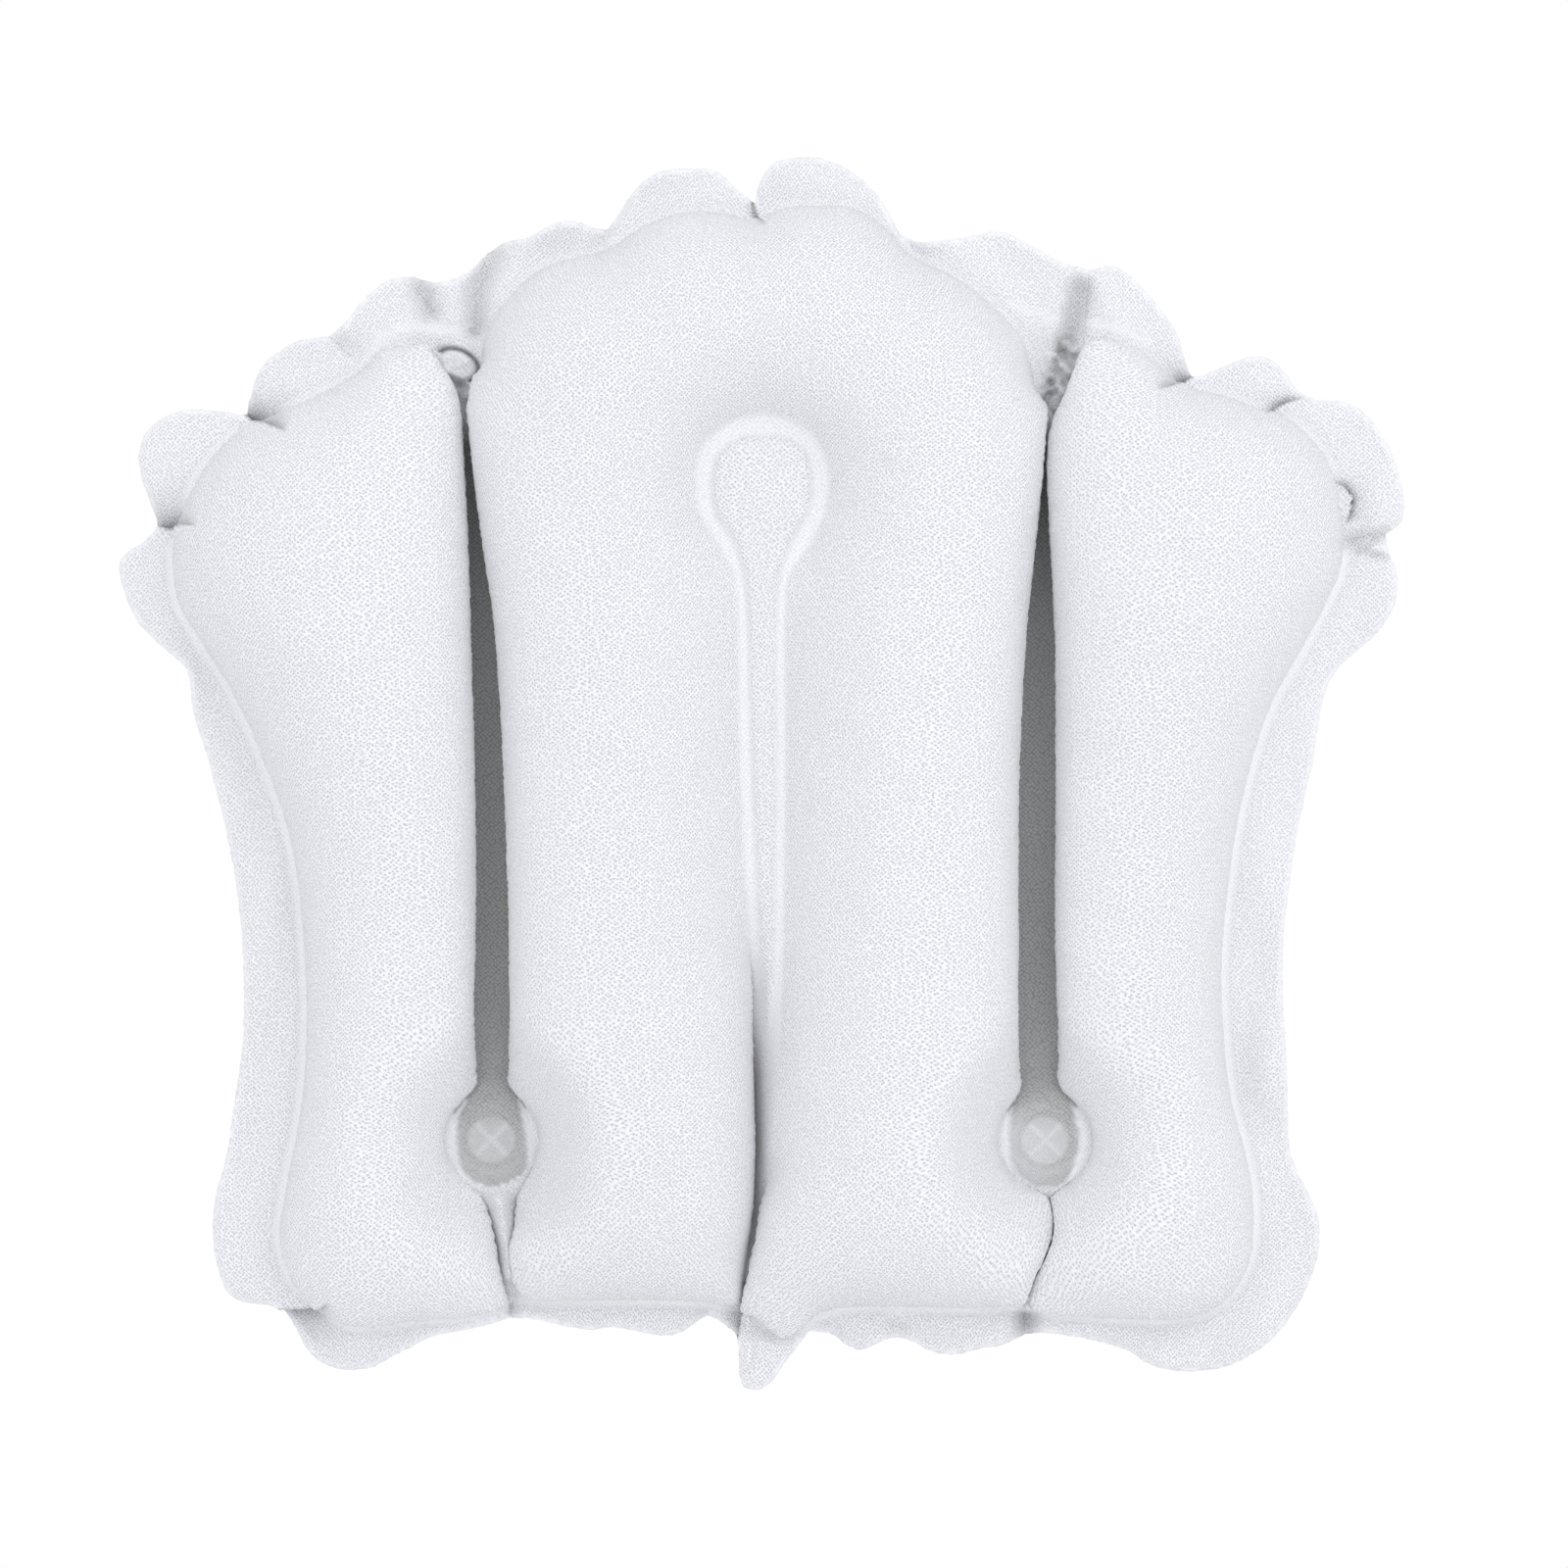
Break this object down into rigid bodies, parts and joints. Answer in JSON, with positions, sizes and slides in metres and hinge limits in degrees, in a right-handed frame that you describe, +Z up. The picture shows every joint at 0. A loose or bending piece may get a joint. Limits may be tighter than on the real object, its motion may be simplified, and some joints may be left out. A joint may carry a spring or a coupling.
{
  "type": "bath pillow",
  "caption": "Inflatable bath pillow with a white terry face in welded panels, fold channels, suction cups and an inflation valve on a vinyl back.",
  "frame": {"origin": "middle of the four suction cups, in the plane of their rims on the tub wall", "axes": "+Y into the tub wall, so the terry face looks towards -Y; +Z up; +X to the right as seen from the face"},
  "size_m": [0.3998, 0.0674, 0.3855],
  "materials": {
    "terry": "white looped terry",
    "back_film": "soft white vinyl",
    "cup_socket": "milky vinyl",
    "suction_cup": "milky clear vinyl",
    "valve": "satin white vinyl"
  },
  "bodies": {
    "centre": {"terry_centre": "terry", "back_film_centre": "back_film", "cup_socket_upper_left": "cup_socket", "cup_socket_upper_right": "cup_socket", "cup_socket_lower_left": "cup_socket", "cup_socket_lower_right": "cup_socket", "valve_flange": "valve"},
    "left_wing": {"terry_left_wing": "terry", "back_film_left_wing": "back_film"},
    "right_wing": {"terry_right_wing": "terry", "back_film_right_wing": "back_film"},
    "cup_upper_left": {"suction_cup_upper_left": "suction_cup"},
    "cup_upper_right": {"suction_cup_upper_right": "suction_cup"},
    "cup_lower_left": {"suction_cup_lower_left": "suction_cup"},
    "cup_lower_right": {"suction_cup_lower_right": "suction_cup"},
    "stem": {"valve_stem": "valve"},
    "plug": {"valve_plug": "valve", "plug_tether": "valve"},
    "flap": {"valve_flap": "valve"}
  },
  "joints": [
    {"name": "left_wing_fold", "type": "hinge", "parent": "centre", "child": "left_wing", "pos_m": [-0.09025, -0.02635, 0], "axis": [-0.0352, 0, 0.9994], "range_deg": [0, 25], "stiffness_Nm_per_rad": 0.15},
    {"name": "right_wing_fold", "type": "hinge", "parent": "centre", "child": "right_wing", "pos_m": [0.09025, -0.02635, 0], "axis": [-0.0352, 0, -0.9994], "range_deg": [0, 25], "stiffness_Nm_per_rad": 0.15},
    {"name": "cup_upper_left_spin", "type": "hinge", "parent": "centre", "child": "cup_upper_left", "pos_m": [-0.0945, -0.02065, 0.1205], "axis": [0, 1, 0], "continuous": true},
    {"name": "cup_upper_right_spin", "type": "hinge", "parent": "centre", "child": "cup_upper_right", "pos_m": [0.0945, -0.02065, 0.1205], "axis": [0, 1, 0], "continuous": true},
    {"name": "cup_lower_left_spin", "type": "hinge", "parent": "centre", "child": "cup_lower_left", "pos_m": [-0.086, -0.02065, -0.1205], "axis": [0, 1, 0], "continuous": true},
    {"name": "cup_lower_right_spin", "type": "hinge", "parent": "centre", "child": "cup_lower_right", "pos_m": [0.086, -0.02065, -0.1205], "axis": [0, 1, 0], "continuous": true},
    {"name": "stem_pull", "type": "slide", "parent": "centre", "child": "stem", "axis": [0, 1, 0], "range_m": [0, 0.012]},
    {"name": "plug_swing", "type": "hinge", "parent": "stem", "child": "plug", "pos_m": [0.04432, -0.00665, -0.0305], "axis": [1, 0, 0], "range_deg": [0, 150]},
    {"name": "flap_open", "type": "hinge", "parent": "stem", "child": "flap", "pos_m": [0.04432, -0.02975, -0.0354], "axis": [-1, 0, 0], "range_deg": [0, 40]}
  ]
}
